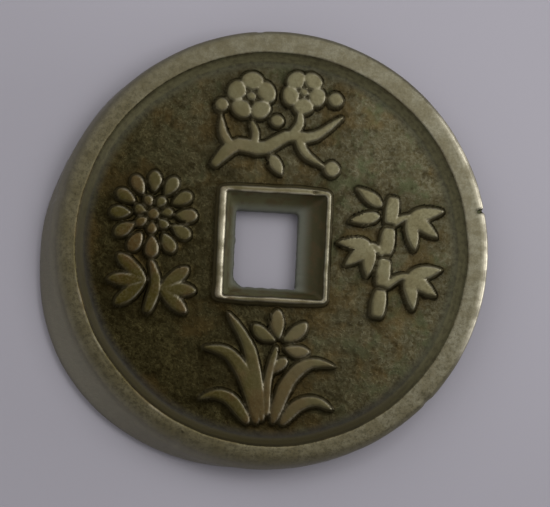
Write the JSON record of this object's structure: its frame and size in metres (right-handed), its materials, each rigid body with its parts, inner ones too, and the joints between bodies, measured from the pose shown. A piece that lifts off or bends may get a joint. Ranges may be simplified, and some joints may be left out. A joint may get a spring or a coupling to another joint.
{
  "type": "chinese cash coin",
  "caption": "Large round cast bronze coin with a square hole, raised rims on both faces and four plant sprigs in relief on the front.",
  "frame": {"origin": "middle of the coin's bounding box in plan, at the height of the back rim that it lies on", "axes": "+Z out of the front face, +Y towards the plum sprig above the hole, +X towards the bamboo sprig"},
  "size_m": [0.0474, 0.047, 0.004],
  "materials": {
    "bronze": "worn cast brass with a dark olive-brown patina in the field"
  },
  "bodies": {
    "root": {"cash_coin": "bronze"}
  },
  "joints": []
}
